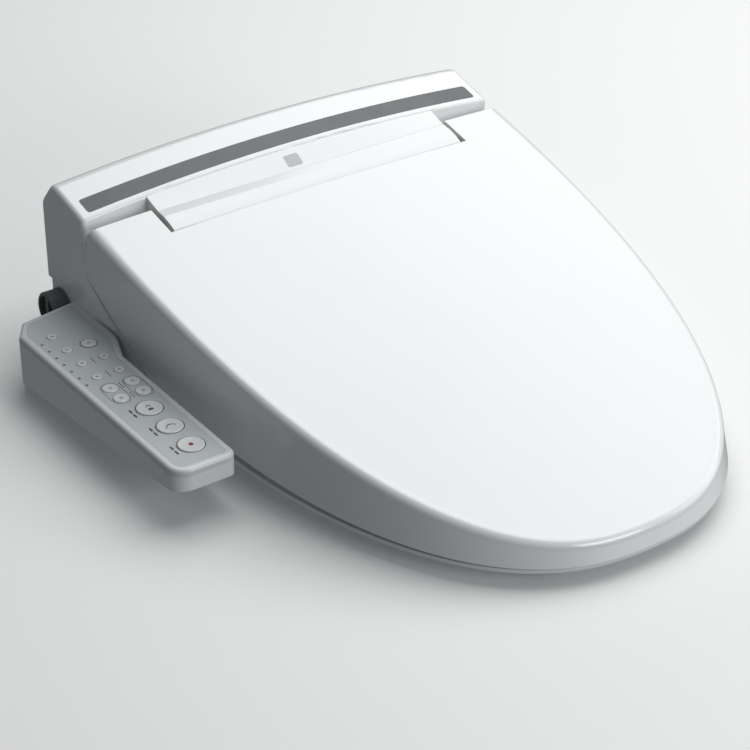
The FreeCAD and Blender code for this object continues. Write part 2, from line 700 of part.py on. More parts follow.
bumper_shapes = [Part.makeCylinder(8, S.seat_bottom, V(side * x, y, 0)) for x, y in BUMPERS for side in (-1, 1)]
solid("seat_bumpers", Part.makeCompound(bumper_shapes))
lid_pads = []
for side in (-1, 1):
    peg = Part.makeCylinder(6, 60, V(side * 85, -400, S.seat_front_z + 0.6 + 70 * S.seat_slope))
    lid_pads.append(peg.common(lid_hollow))
solid("lid_bumpers", Part.makeCompound(lid_pads))

# ---------------------------------------------------------------- hinge pins and dampers
for side, sign in (("left", -1), ("right", 1)):
    start = "nose_half - 4" if sign > 0 else "-(lid_knuckle_x + lid_knuckle_width + 1)"
    piece(rod("pin_" + side, "X", "pin_radius", (start, "hinge_y", "hinge_z"),
              "lid_knuckle_x + lid_knuckle_width + 1 - (nose_half - 4)"), "hinge_pin_" + side)
piece(rod("damper_r", "X", 8, ("nose_half - 46", "hinge_y", "hinge_z"), 42), "seat_damper")
piece(rod("damper_l", "X", 8, ("-(nose_half - 4)", "hinge_y", "hinge_z"), 42), "lid_damper")

# ---------------------------------------------------------------- mounting plate and feet
plate = prism("plate", "XY", [("-plate_width / 2", "-plate_depth / 2"), ("plate_width / 2", "-plate_depth / 2"),
                              ("plate_width / 2", "plate_depth / 2"), ("-plate_width / 2", "plate_depth / 2")],
              0, "plate_thick")
fillet(plate, 8, upright)
feature(plate, "Pocket", sketch(plate, "XY", circles=[("-bolt_spacing / 2", "0", "bolt_hole"),
                                                      ("bolt_spacing / 2", "0", "bolt_hole")],
                                offset="plate_thick"), "plate_thick")
piece(plate, "mounting_plate")
pads = [box("pad_%d" % i, [x + " - 12", y + " - 7", "0"], [x + " + 12", y + " + 7", "base_bottom"])
        for i, (x, y) in enumerate([("-150", "25"), ("150", "25"), ("-150", "-60"), ("150", "-60")])]
piece(fuse("pads", *pads), "base_pads")
release = fuse("release", box("release_face", ["body_width / 2 - 6", "-6", "20"],
                              ["body_width / 2 + 2", "12", "32"]),
               box("release_flange", ["body_width / 2 - 8.2", "-8", "18"], ["body_width / 2 - 6", "14", "34"]))
piece(release, "release_button")
screws = []
for i, (x, y) in enumerate(SCREWS):
    screws.append(rod("screw_head_%d" % i, "Z", 3.4, (x, y, "base_bottom + 0.2"), 2.4))
    screws.append(rod("screw_shank_%d" % i, "Z", 1.6, (x, y, "base_bottom + 2.6"), 22))
piece(fuse("screws", *screws), "case_screws")

# ---------------------------------------------------------------- control panel
PANEL = [("-body_width / 2", "panel_back", -1, -1), ("-(panel_outer - 12)", "panel_back - 8", 0.4, -1),
         ("-panel_outer", "panel_back - 26", 1, -0.4), ("-(panel_outer - 2)", "-panel_front", 1, 1),
         ("-(panel_inner - 0.5)", "-panel_front", -1, 1), ("-panel_inner", "-84", -1, 0.3),
         ("-body_width / 2", "-60", -1, 0.3)]


def panel_outline(inset):
    return [("%s + (%s) * (%s)" % (x, inset, dx), "%s + (%s) * (%s)" % (y, inset, dy))
            for x, y, dx, dy in PANEL]


def panel_prism(name, inset, start, length, corner_cut=0.0):
    """The panel's plan between two heights, with its free corners rounded."""
    body = prism(name, "XY", panel_outline(inset), start, length)
    for radius, x, y in ((14, -S.panel_outer + 2, -S.panel_front), (8, -S.panel_inner + 0.5, -S.panel_front)):
        fillet(body, "max(%s - %s; 1)" % (radius, inset),
               lambda edge, x=x, y=y: upright(edge, x, y, 1.5 * corner_cut + 1.0))
    return body


def button_circles(grow):
    return [("-" + column, "-%s" % front, "%s + %s" % (size, grow)) for column, front, size in BUTTONS.values()]


def light_circles(grow):
    return [("-light_column", "-(light_first + light_pitch * %d)" % i, "light_radius + %s" % grow)
            for i in range(LIGHT_COUNT)]


def under_slope(name, raised):
    """The space below the panel's rising underside."""
    low = "panel_rear_z + %s" % raised
    high = "panel_rear_z + %s + panel_rise * (panel_front + panel_back + 40)" % raised
    return prism(name, "YZ", [("panel_back + 20", "-40"), ("panel_back + 20", low),
                              ("-(panel_front + 20)", high), ("-(panel_front + 20)", "-40")],
                 "-panel_outer - 20", 100)


case_outer = cut("case_outer", panel_prism("case_plan", 0, 0, "panel_split"), under_slope("below_case", 0))
case_inner = cut("case_inner", panel_prism("case_hollow", "panel_wall", 0, "panel_split + 5", S.panel_wall),
                 under_slope("below_hollow", "panel_wall"))
piece(cut("case", case_outer, case_inner), "panel_lower_case")

deck = panel_prism("deck", 0, "panel_split", "panel_top - panel_split")
fillet(deck, "panel_round", lambda edge: edge.BoundBox.ZMin > S.panel_top - 0.01
       and not (edge.BoundBox.XMax > -HALF - 0.01 and edge.BoundBox.XLength < 0.01))
feature(deck, "Pocket", sketch(deck, "XY", circles=button_circles("button_gap") + light_circles("0.1"),
                               offset="panel_top"), 10)
deck_hollow = panel_prism("deck_hollow", "panel_wall", "panel_split - 1",
                          "panel_top - panel_split - panel_wall + 1", S.panel_wall)
overlay_seat = panel_prism("overlay_seat", "overlay_inset", "panel_top - overlay_thick", 1, S.overlay_inset)
piece(cut("deck_seated", cut("deck_case", deck, deck_hollow), overlay_seat), "panel_deck")

overlay = panel_prism("overlay", "overlay_inset + 0.15", "panel_top - overlay_thick", "overlay_thick",
                      S.overlay_inset)
feature(overlay, "Pocket", sketch(overlay, "XY", circles=button_circles("button_gap") + light_circles("0.1"),
                                  offset="panel_top"), 2)
piece(overlay, "panel_overlay")

mat = prism("mat", "XY", panel_outline("panel_wall + 5"), "panel_split - 1.4", 1.6)
feature(mat, "Pocket", sketch(mat, "XY", circles=light_circles("0.1"), offset="panel_split + 5"), 20)
piece(mat, "button_mat")
piece(prism("board", "XY", panel_outline("panel_wall + 5"), "panel_split - 3", 1.6), "panel_board")
lights = [rod("light_%d" % i, "Z", "light_radius", ("-light_column", "-(light_first + light_pitch * %d)" % i,
                                                     "panel_split - 1.4"), "panel_top - panel_split + 1.6")
          for i in range(LIGHT_COUNT)]
piece(fuse("lights", *lights), "status_lights")
for name, (column, front, size) in BUTTONS.items():
    low = "panel_split + 1.2"
    button = prism(name + "_body", "XY", (), low, "panel_top + button_proud - panel_split - 1.2",
                   circles=[("-" + column, "-%s" % front, size)])
    fillet(button, 0.5, lambda edge: edge.BoundBox.ZMin > S.panel_top)
    feature(button, "Pad", sketch(button, "XY", (), [("-" + column, "-%s" % front, size + " + button_flange")],
                                  low), 1.2)
    piece(button, name)

# ---------------------------------------------------------------- strainer and its cap
side_x = "-body_width / 2"
housing = cut("housing",
              fuse("housing_form",
                   rod("housing_tube", "X", "strainer_bore + 2", (side_x, "strainer_y", "strainer_z"), 30),
                   rod("housing_collar", "X", "collar_radius", (side_x + " - 3", "strainer_y", "strainer_z"), 3)),
              rod("housing_bore", "X", "strainer_bore", (side_x + " - 4", "strainer_y", "strainer_z"), 31))
piece(housing, "strainer_housing")
cap_x = "(body_width / 2 + 3.1)"
cap = doc.addObject("PartDesign::Body", "cap")
cap_profile = sketch(cap, "XY", [("-" + cap_x + " + 9", "0"), ("-" + cap_x + " + 9", "strainer_bore - 1.5"),
                                 ("-" + cap_x + " + 0", "strainer_bore - 1.5"), ("-" + cap_x, "cap_radius"),
                                 ("-(body_width / 2 + 2.1 + cap_length)", "cap_radius"),
                                 ("-(body_width / 2 + 3.1 + cap_length)", "cap_radius - 1"),
                                 ("-(body_width / 2 + 3.1 + cap_length)", "cap_radius - 3"),
                                 ("-(body_width / 2 + cap_length - 1)", "cap_radius - 3"),
                                 ("-(body_width / 2 + cap_length - 1)", "0")])
turned = cap.newObject("PartDesign::Revolution", "cap_turned")
turned.Profile = cap_profile
turned.ReferenceAxis = (cap_profile, ["H_Axis"])
turned.Angle = 360
feature(cap, "Pad", sketch(cap, "YZ", [("-2", "-cap_radius + 3"), ("2", "-cap_radius + 3"),
                                       ("2", "cap_radius - 3"), ("-2", "cap_radius - 3")],
                           offset="-(body_width / 2 + 2.5 + cap_length)"), 5)
put(cap, 0, "strainer_y", "strainer_z")
piece(cap, "strainer_cap")
piece(cut("seal", rod("seal_disc", "X", "strainer_bore - 0.05", ("-" + cap_x + " + 3", "strainer_y", "strainer_z"), 3),
          rod("seal_hole", "X", "strainer_bore - 1.5", ("-" + cap_x, "strainer_y", "strainer_z"), 12)),
      "cap_seal")
piece(cut("screen", rod("screen_tube", "X", 8, (side_x + " + 8", "strainer_y", "strainer_z"), 18.5),
          rod("screen_hole", "X", 7.2, (side_x + " + 7", "strainer_y", "strainer_z"), 21)), "strainer_screen")

# ---------------------------------------------------------------- water inlet, valve, tank
nipple = cut("nipple", fuse("nipple_body", rod("nipple_tube", "Y", "inlet_radius",
                                               ("inlet_x", "base_back - 1", "inlet_z"), "1 + cover_back - base_back"),
                            rod("nipple_shank", "Y", "inlet_radius + 0.6",
                                ("inlet_x", "base_back - wall - 4", "inlet_z"), "wall + 4")),
             rod("nipple_bore", "Y", 6, ("inlet_x", "base_back - wall - 5", "inlet_z"), 40))
piece(nipple, "inlet_nipple")
valve = fuse("valve", box("valve_block", ["inlet_x - 14", "base_back - wall - 34", "inlet_z - 13"],
                          ["inlet_x + 14", "base_back - wall - 4", "inlet_z + 14"]),
             rod("valve_coil", "Z", 9, ("inlet_x", "base_back - wall - 19", "inlet_z + 14"), 12))
piece(valve, "inlet_valve")
tank_low = ["-125", "-18", "60"]
tank_high = ["-30", "36", "96"]
tank = cut("tank", box("tank_outer", tank_low, tank_high),
           box("tank_inner", ["-125 + tank_wall", "-18 + tank_wall", "60 + tank_wall"],
               ["-30 - tank_wall", "36 - tank_wall", "120"]))
piece(tank, "water_tank")
piece(box("tank_lid", ["-125", "-18", "96"], ["-30", "36", "99"]), "tank_cover")
piece(rod("heater_stem", "Z", 5, ("-78", "8", "66"), 30), "tank_heater")
hose_start = V(S.inlet_x, S.base_back - S.wall - 19, S.inlet_z + 26)
bend = 14
hose_line = [hose_start, hose_start + V(0, 0, 26 - bend + 8)]
hose_turn = hose_line[1] + V(bend, 0, bend)
hose_mid = hose_line[1] + V(bend * (1 - math.cos(math.pi / 4)), 0, bend * math.sin(math.pi / 4))
hose_end = V(-125, hose_turn.y, hose_turn.z)
hose_path = Part.Wire([Part.makeLine(*hose_line), Part.Arc(hose_line[1], hose_mid, hose_turn).toShape(),
                       Part.makeLine(hose_turn, hose_end)])
hose_ring = Part.Wire(Part.makeCircle(4, hose_start, V(0, 0, 1)))
solid("supply_hose", hose_path.makePipeShell([hose_ring], True, False))
piece(fuse("pump", box("pump_block", ["28", "-26", "60"], ["62", "14", "92"]),
           rod("pump_motor", "Y", 14, ("45", "14", "76"), 22)), "water_pump")

# ---------------------------------------------------------------- nozzles
SLIDE_TURN = FreeCAD.Rotation(V(1, 0, 0), 90 + S.nozzle_angle)


def tilted(body, x):
    """Stand the body's own Z along the nozzles' slide, pointing out of the unit, from the tip."""
    body.Placement.Rotation = SLIDE_TURN
    put(body, x, "nozzle_tip_y", "nozzle_tip_z")


for name, sign in (("shower_nozzle", "-"), ("bidet_nozzle", "")):
    tube = doc.addObject("PartDesign::Body", name + "_body")
    outline = sketch(tube, "XZ", [("0", "0"), ("nozzle_radius - 2", "0"), ("nozzle_radius", "-2"),
                                  ("nozzle_radius", "-nozzle_length"), ("2.5", "-nozzle_length"),
                                  ("2.5", "-10"), ("0", "-10")])
    spun = tube.newObject("PartDesign::Revolution", name + "_turned")
    spun.Profile = outline
    spun.ReferenceAxis = (outline, ["V_Axis"])
    spun.Angle = 360
    tilted(tube, "%snozzle_pitch / 2" % sign)
    piece(tube, name)
guide_half = "(nozzle_pitch / 2 + nozzle_radius + 2.5)"
guide = prism("guide", "XY", [("-" + guide_half, "-nozzle_radius - 2.5"), (guide_half, "-nozzle_radius - 2.5"),
                              (guide_half, "nozzle_radius + 2.5"), ("-" + guide_half, "nozzle_radius + 2.5")],
              "-70", 50)
feature(guide, "Pocket", sketch(guide, "XY", circles=[("-nozzle_pitch / 2", "0", "nozzle_radius + 0.06"),
                                                      ("nozzle_pitch / 2", "0", "nozzle_radius + 0.06")],
                                offset="-20"), 50)
tilted(guide, "0")
piece(guide, "nozzle_guide")

# ---------------------------------------------------------------- fan and filter
fan_housing = cut("fan_case", rod("fan_drum", "Z", "fan_radius + 5", ("fan_x", "fan_y", "58"), 28),
                  rod("fan_room", "Z", "fan_radius + 2.5", ("fan_x", "fan_y", "57"), 26.5),
                  rod("fan_shaft_way", "Z", 3, ("fan_x", "fan_y", "80"), 10))
piece(fan_housing, "fan_housing")
motor = fuse("motor", rod("motor_can", "Z", 13, ("fan_x", "fan_y", "86"), 20),
             rod("motor_shaft", "Z", 2, ("fan_x", "fan_y", "64"), 22))
piece(motor, "fan_motor")
wheel = prism("wheel", "XY", (), "62", 3, circles=[("0", "0", "fan_radius")])
feature(wheel, "Pad", sketch(wheel, "XY", (), [("0", "0", "5")], "62"), 16)
blade = feature(wheel, "Pad", sketch(wheel, "XY", [("fan_radius - 8", "-0.8"), ("fan_radius - 0.5", "-0.8"),
                                                   ("fan_radius - 0.5", "0.8"), ("fan_radius - 8", "0.8")],
                                     offset="62"), 16)
blades = wheel.newObject("PartDesign::PolarPattern", "wheel_blades")
blades.Originals = [blade]
blades.Axis = (blade.Profile[0], ["N_Axis"])
blades.Angle = 360
blades.Occurrences = 16
wheel.Tip = blades
feature(wheel, "Pocket", sketch(wheel, "XY", (), [("0", "0", "2.05")], "80"), 20)
put(wheel, "fan_x", "fan_y", 0)
piece(wheel, "fan_wheel")
piece(box("filter", ["fan_x - 24", "-32", "20"], ["fan_x + 14", "26", "46"]), "deodorizer_filter")

# ---------------------------------------------------------------- boards and cord gland
piece(fuse("logic", box("logic_plate", ["-184", "-30", "62"], ["-166", "36", "63.6"]),
           box("logic_chip", ["-181", "-10", "63.6"], ["-170", "10", "70"])), "control_board")
piece(fuse("supply", box("supply_plate", ["152", "-8", "62"], ["186", "40", "63.6"]),
           box("supply_coil", ["156", "0", "63.6"], ["180", "26", "86"])), "power_board")
gland = cut("gland", rod("gland_tube", "Y", 6, ("gland_x", "base_back - wall - 2", "inlet_z"), 14),
            rod("gland_bore", "Y", 3.6, ("gland_x", "base_back - wall - 3", "inlet_z"), 20))
piece(gland, "cord_gland")

# ---------------------------------------------------------------- check and export
doc.recompute()
for item in doc.Objects:
    if {"Invalid", "Error"} & set(item.State):
        raise RuntimeError("%s did not build: %s" % (item.Label, item.State))
os.makedirs("parts", exist_ok=True)
for made in PIECES:
    shape = made.Shape
    if shape.isNull() or not shape.isValid():
        raise RuntimeError("%s has no valid shape" % made.Label)
for made in PIECES:
    made.Shape.exportStep("parts/%s.step" % made.Label)
    print("%-22s %2d solids %10.1f mm3" % (made.Label, len(made.Shape.Solids), made.Shape.Volume))
print(len(PIECES), "pieces")
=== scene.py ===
import json
import math

import bmesh
import bpy
import numpy as np
from mathutils import Matrix, Vector


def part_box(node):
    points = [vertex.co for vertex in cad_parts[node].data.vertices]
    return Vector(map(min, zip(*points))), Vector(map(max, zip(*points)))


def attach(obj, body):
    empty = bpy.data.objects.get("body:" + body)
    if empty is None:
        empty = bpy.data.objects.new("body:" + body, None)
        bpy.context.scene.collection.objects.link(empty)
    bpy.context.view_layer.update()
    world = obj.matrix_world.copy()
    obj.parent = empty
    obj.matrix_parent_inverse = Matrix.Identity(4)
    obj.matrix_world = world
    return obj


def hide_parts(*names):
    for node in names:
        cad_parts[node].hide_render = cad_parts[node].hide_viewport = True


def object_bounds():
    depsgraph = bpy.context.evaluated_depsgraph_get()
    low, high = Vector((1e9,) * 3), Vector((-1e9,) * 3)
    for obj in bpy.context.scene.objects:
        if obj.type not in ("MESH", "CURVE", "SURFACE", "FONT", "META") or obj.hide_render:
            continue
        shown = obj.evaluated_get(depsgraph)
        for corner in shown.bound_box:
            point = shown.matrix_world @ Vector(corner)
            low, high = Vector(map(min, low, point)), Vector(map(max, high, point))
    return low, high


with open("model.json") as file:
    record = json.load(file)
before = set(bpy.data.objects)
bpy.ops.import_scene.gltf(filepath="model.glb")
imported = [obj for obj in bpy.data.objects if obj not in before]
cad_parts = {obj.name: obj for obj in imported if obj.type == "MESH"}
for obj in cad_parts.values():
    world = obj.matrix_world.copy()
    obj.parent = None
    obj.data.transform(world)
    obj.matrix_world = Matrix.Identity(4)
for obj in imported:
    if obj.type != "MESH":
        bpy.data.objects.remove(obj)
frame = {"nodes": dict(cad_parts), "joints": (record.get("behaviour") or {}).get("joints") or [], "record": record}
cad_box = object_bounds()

MM = 0.001
JOINTS = {joint["name"]: joint for joint in frame["joints"]}
HINGE_Y, HINGE_Z = (value / MM for value in JOINTS["lid_hinge"]["pos_m"][1:])


def corners(node):
    """Lowest and highest corner of a CAD node, in millimetres."""
    low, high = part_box(node)
    return np.array(low) / MM, np.array(high) / MM


# ---------------------------------------------------------------- mesh helpers
def build(name, points, faces, smooth=True):
    """A mesh object from points in millimetres, with doubles merged and poles closed."""
    mesh = bpy.data.meshes.new(name)
    mesh.from_pydata((np.asarray(points, float) * MM).tolist(), [], [list(face) for face in faces])
    work = bmesh.new()
    work.from_mesh(mesh)
    bmesh.ops.remove_doubles(work, verts=work.verts, dist=0.005 * MM)
    bmesh.ops.dissolve_degenerate(work, edges=work.edges, dist=0.002 * MM)
    work.to_mesh(mesh)
    work.free()
    if smooth:
        mesh.shade_smooth()
    piece = bpy.data.objects.new(name, mesh)
    bpy.context.scene.collection.objects.link(piece)
    return piece


def grid_faces(rows, columns, start=0, close=False):
    """Quads of a rows x columns grid of points; close joins the last column to the first."""
    last = columns if close else columns - 1
    r, c = np.meshgrid(np.arange(rows - 1), np.arange(last), indexing="ij")
    a = start + r * columns + c
    b = start + r * columns + (c + 1) % columns
    return np.stack([a, b, b + columns, a + columns], -1).reshape(-1, 4)


def patches(name, grids):
    """One mesh from several grids of points that share their borders."""
    points, faces, start = [], [], 0
    for grid in grids:
        rows, columns = grid.shape[:2]
        points.append(grid.reshape(-1, 3))
        faces.append(grid_faces(rows, columns, start))
        start += rows * columns
    return build(name, np.concatenate(points), np.concatenate(faces))


def turned(name, profile, centre, axis="Z", steps=64):
    """A profile turned about an axis through centre.

    Each (radius, along) gives a ring of points: radius times cosine and sine, and along.
    """
    profile = np.asarray(profile, float)
    angle = np.linspace(0, 2 * np.pi, steps, endpoint=False)
    radius, along = profile[:, :1], profile[:, 1:]
    ring = [radius * np.cos(angle), radius * np.sin(angle), along + 0 * angle]
    order = {"X": (2, 0, 1), "Y": (1, 2, 0), "Z": (0, 1, 2)}[axis]
    points = np.stack([ring[i] for i in order], -1) + np.asarray(centre, float)
    return build(name, points.reshape(-1, 3), grid_faces(len(profile), steps, close=True))


def outward(piece, centre):
    """Turn every face of a shell so that it points away from a centre, in millimetres."""
    work = bmesh.new()
    work.from_mesh(piece.data)
    bmesh.ops.recalc_face_normals(work, faces=work.faces)
    middle = Vector(centre) * MM
    score = sum(face.normal.dot(face.calc_center_median() - middle) * face.calc_area() for face in work.faces)
    if score < 0:
        bmesh.ops.reverse_faces(work, faces=work.faces)
    work.to_mesh(piece.data)
    work.free()


def thicken(piece, thickness, edge=0.0, segments=3):
    """Give a shell its wall inwards, and round the wall's free edges."""
    wall = piece.modifiers.new("wall", "SOLIDIFY")
    wall.thickness = thickness * MM
    wall.offset = -1
    wall.use_even_offset = True
    if edge:
        soften(piece, edge, segments)


def soften(piece, width, segments=3, angle=40):
    """Round a piece's sharp edges."""
    rounding = piece.modifiers.new("rounding", "BEVEL")
    rounding.width = width * MM
    rounding.segments = segments
    rounding.limit_method = "ANGLE"
    rounding.angle_limit = math.radians(angle)
    rounding.harden_normals = True
    rounding.use_clamp_overlap = True


# ---------------------------------------------------------------- materials
def shader_group(name, inputs, outputs, fill):
    """A node group with number inputs and outputs of named kinds; fill builds its inside."""
    group = bpy.data.node_groups.new(name, "ShaderNodeTree")
    for label, value in inputs:
        socket = group.interface.new_socket(label, in_out="INPUT", socket_type="NodeSocketFloat")
        socket.default_value = value
    for label, kind in outputs:
        group.interface.new_socket(label, in_out="OUTPUT", socket_type="NodeSocket" + kind)
    entry = group.nodes.new("NodeGroupInput")
    leave = group.nodes.new("NodeGroupOutput")
    fill(group, entry, leave)
    return group


def grain_inside(group, entry, leave):
    """Slow cloudy tone and fine moulded grain, both from object coordinates."""
    place = group.nodes.new("ShaderNodeTexCoord")
    for label, scale, detail in (("Tone", "Tone Scale", 2), ("Grain", "Grain Scale", 3)):
        noise = group.nodes.new("ShaderNodeTexNoise")
        noise.inputs["Detail"].default_value = detail
        group.links.new(place.outputs["Object"], noise.inputs["Vector"])
        group.links.new(entry.outputs[scale], noise.inputs["Scale"])
        group.links.new(noise.outputs["Fac"], leave.inputs[label])


def dust_inside(group, entry, leave):
    """A faint settled dust mask: strongest on faces that look up, broken by two noises."""
    shape = group.nodes.new("ShaderNodeNewGeometry")
    split = group.nodes.new("ShaderNodeSeparateXYZ")
    noise = group.nodes.new("ShaderNodeTexNoise")
    place = group.nodes.new("ShaderNodeTexCoord")
    up = group.nodes.new("ShaderNodeMath")
    mask = group.nodes.new("ShaderNodeMath")
    up.operation = "MULTIPLY"
    mask.operation = "MULTIPLY"
    up.use_clamp = True
    mask.use_clamp = True
    group.links.new(shape.outputs["Normal"], split.inputs["Vector"])
    group.links.new(place.outputs["Object"], noise.inputs["Vector"])
    group.links.new(entry.outputs["Scale"], noise.inputs["Scale"])
    group.links.new(split.outputs["Z"], up.inputs[0])
    group.links.new(noise.outputs["Fac"], up.inputs[1])
    group.links.new(up.outputs["Value"], mask.inputs[0])
    group.links.new(entry.outputs["Amount"], mask.inputs[1])
    group.links.new(mask.outputs["Value"], leave.inputs["Mask"])


GRAIN = shader_group("moulded_grain", [("Tone Scale", 6.0), ("Grain Scale", 900.0)],
                     [("Tone", "Float"), ("Grain", "Float")], grain_inside)
DUST = shader_group("settled_dust", [("Scale", 40.0), ("Amount", 0.1)], [("Mask", "Float")], dust_inside)


def finish(name, dark, light, rough, bump=0.02, grain=900.0, tone=6.0, metal=0.0, coat=0.0, dust=0.06):
    """A finish: a colour and roughness that drift with the tone, fine grain as bump, faint dust."""
    material = bpy.data.materials.new(name)
    material.use_nodes = True
    nodes, links = material.node_tree.nodes, material.node_tree.links
    shader = nodes["Principled BSDF"]
    grains = nodes.new("ShaderNodeGroup")
    grains.node_tree = GRAIN
    grains.inputs["Tone Scale"].default_value = tone
    grains.inputs["Grain Scale"].default_value = grain
    dusty = nodes.new("ShaderNodeGroup")
    dusty.node_tree = DUST
    dusty.inputs["Amount"].default_value = dust
    colour = nodes.new("ShaderNodeMix")
    colour.data_type = "RGBA"
    colour.inputs["A"].default_value = (*dark, 1)
    colour.inputs["B"].default_value = (*light, 1)
    settled = nodes.new("ShaderNodeMix")
    settled.data_type = "RGBA"
    settled.inputs["B"].default_value = (0.72, 0.72, 0.70, 1)
    roughness = nodes.new("ShaderNodeMapRange")
    roughness.inputs["From Min"].default_value = 0.3
    roughness.inputs["From Max"].default_value = 0.7
    roughness.inputs["To Min"].default_value = rough[0]
    roughness.inputs["To Max"].default_value = rough[1]
    relief = nodes.new("ShaderNodeBump")
    relief.inputs["Strength"].default_value = bump
    relief.inputs["Distance"].default_value = 0.0002
    links.new(grains.outputs["Tone"], colour.inputs["Factor"])
    links.new(colour.outputs["Result"], settled.inputs["A"])
    links.new(dusty.outputs["Mask"], settled.inputs["Factor"])
    links.new(settled.outputs["Result"], shader.inputs["Base Color"])
    links.new(grains.outputs["Tone"], roughness.inputs["Value"])
    links.new(roughness.outputs["Result"], shader.inputs["Roughness"])
    links.new(grains.outputs["Grain"], relief.inputs["Height"])
    links.new(relief.outputs["Normal"], shader.inputs["Normal"])
    shader.inputs["Metallic"].default_value = metal
    shader.inputs["Coat Weight"].default_value = coat
    shader.inputs["Coat Roughness"].default_value = 0.06
    return material


FINISHES = {
    "white_shell": finish("white_gloss_shell", (0.74, 0.755, 0.76), (0.79, 0.80, 0.80),
                          (0.16, 0.24), coat=0.35),
    "grey_deck": finish("pale_grey_deck", (0.60, 0.615, 0.625), (0.65, 0.665, 0.67),
                        (0.26, 0.34), 0.05, 1600),
    "panel_film": finish("panel_film", (0.43, 0.46, 0.475), (0.50, 0.53, 0.545),
                         (0.34, 0.42), 0.10, 2600, 12),
    "dark_trim": finish("smoked_trim", (0.068, 0.078, 0.083), (0.080, 0.091, 0.097), (0.36, 0.44)),
    "dark_cap": finish("dark_cap", (0.085, 0.093, 0.093), (0.12, 0.13, 0.13), (0.34, 0.46), 0.08, 1500),
    "sensor_lens": finish("sensor_lens", (0.34, 0.36, 0.37), (0.40, 0.42, 0.43), (0.10, 0.16), coat=0.6),
    "light_lens": finish("light_lens", (0.10, 0.11, 0.115), (0.16, 0.17, 0.175), (0.18, 0.26), coat=0.3),
    "soft_rubber": finish("soft_rubber", (0.13, 0.135, 0.14), (0.18, 0.185, 0.19), (0.62, 0.74), 0.15, 700),
    "circuit_board": finish("circuit_board", (0.02, 0.12, 0.05), (0.03, 0.17, 0.07),
                            (0.34, 0.45), 0.1, 500),
    "steel_pin": finish("brushed_steel", (0.50, 0.50, 0.51), (0.62, 0.62, 0.63),
                        (0.24, 0.38), 0.08, 1800, metal=1.0),
    "moulded_part": finish("moulded_part", (0.36, 0.38, 0.39), (0.44, 0.46, 0.47), (0.42, 0.52), 0.08, 900),
    "brass_fitting": finish("brass_fitting", (0.58, 0.42, 0.18), (0.70, 0.54, 0.26),
                            (0.24, 0.36), 0.06, metal=1.0),
    "nozzle_white": finish("nozzle_white", (0.74, 0.75, 0.75), (0.80, 0.81, 0.81), (0.14, 0.22), coat=0.4),
    "filter_case": finish("filter_case", (0.06, 0.065, 0.07), (0.09, 0.095, 0.10), (0.5, 0.6), 0.1, 600),
    "heater_foil": finish("heater_foil", (0.62, 0.62, 0.63), (0.74, 0.74, 0.75),
                          (0.22, 0.4), 0.2, 300, metal=1.0),
    "button_white": finish("button_satin", (0.62, 0.635, 0.645), (0.68, 0.695, 0.70),
                           (0.26, 0.34), 0.05, 1800,
                           coat=0.15),
    "print_dark": finish("printed_mark", (0.035, 0.037, 0.040), (0.055, 0.057, 0.060),
                         (0.42, 0.5), dust=0.0),
    "print_red": finish("printed_stop_mark", (0.20, 0.018, 0.024), (0.28, 0.026, 0.032),
                        (0.38, 0.46), dust=0.0),
}
FINISHES["stop_button_grey"] = FINISHES["button_white"]


def dress(piece, material):
    """Give a piece one finish and no other."""
    piece.data.materials.clear()
    piece.data.materials.append(FINISHES[material])


for entry in frame["record"]["subparts"]:
    dress(frame["nodes"][entry["node"]], entry["material_slot"])


def fit_out(piece, body, slot, *nodes, material=None):
    """Dress a new piece, ride it on its body and let it stand for its CAD nodes."""
    dress(piece, material or slot)
    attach(piece, body)
    if nodes:
        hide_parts(*nodes)


# ---------------------------------------------------------------- lid
LID_LOW = corners("lid_shell")[0]
LID = {"half": 195.94, "length": 487.69, "centre": LID_LOW[1] + 491.3, "px": 2.44, "py": 2.79}
RIM = {"half": 187.68, "length": 353.1, "centre": LID_LOW[1] + 353.1, "px": 2.43, "py": 2.39}
RIM_FLARE = 6.32            # extra half width of the rim at the hinge end
RIM_FLARE_RUN = 96.2
RIM_TIP_Z = 15.1
RIM_SLOPE = 0.02267
TOP_TIP_Z = 30.6            # height of the shoulder line at the tip
TOP_SLOPE = 0.2339
TOP_RISE = 3.0              # the crown above the shoulder line
SIDE_FALL = 3.5             # how far the crown drops at SIDE_REACH from the middle
SIDE_REACH = 194
END_FALL = 4.2              # how far it drops at END_REACH from CROWN_MIDDLE
END_REACH = 222
CROWN_MIDDLE = 218          # behind the tip
SHOULDER_ROUND = 7.0
WALL = 3.0
WALL_EDGE = 0.9             # rounding of the wall's free edges
NOTCH_HALF = 141.0
NOTCH_Y = HINGE_Y - 15.5
EAR_EDGE = np.array([(15.0, 12.0), (20.9, 4.9), (23.5, -1.5), (25.0, -8.5), (28.5, -21.0), (29.0, -30.2),
                     (26.9, -32.1), (24.3, -34.14)]) + (HINGE_Y, HINGE_Z)
EAR_SLOPE = 0.7125
EAR_ROWS = 9                # rows of points over the ears
SIDE_ROWS = 15              # rows of points down the side
REAR_SIDE_END = -150        # the side is a curved patch behind this y and ruled in front of it
KNUCKLE_PROFILE = [(3.6, 160), (6.4, 160), (7, 160.6), (7, 174.4), (6.4, 175), (3.6, 175), (3.6, 160)]
KNUCKLE_MIDDLE = 167.5


def half_width(curve, y, inset=0.0):
    """Half width of a superellipse outline at y."""
    reach = np.clip((curve["centre"] - y) / (curve["length"] - inset), 0, 1)
    return (curve["half"] - inset) * (1 - reach ** curve["py"]) ** (1 / curve["px"])


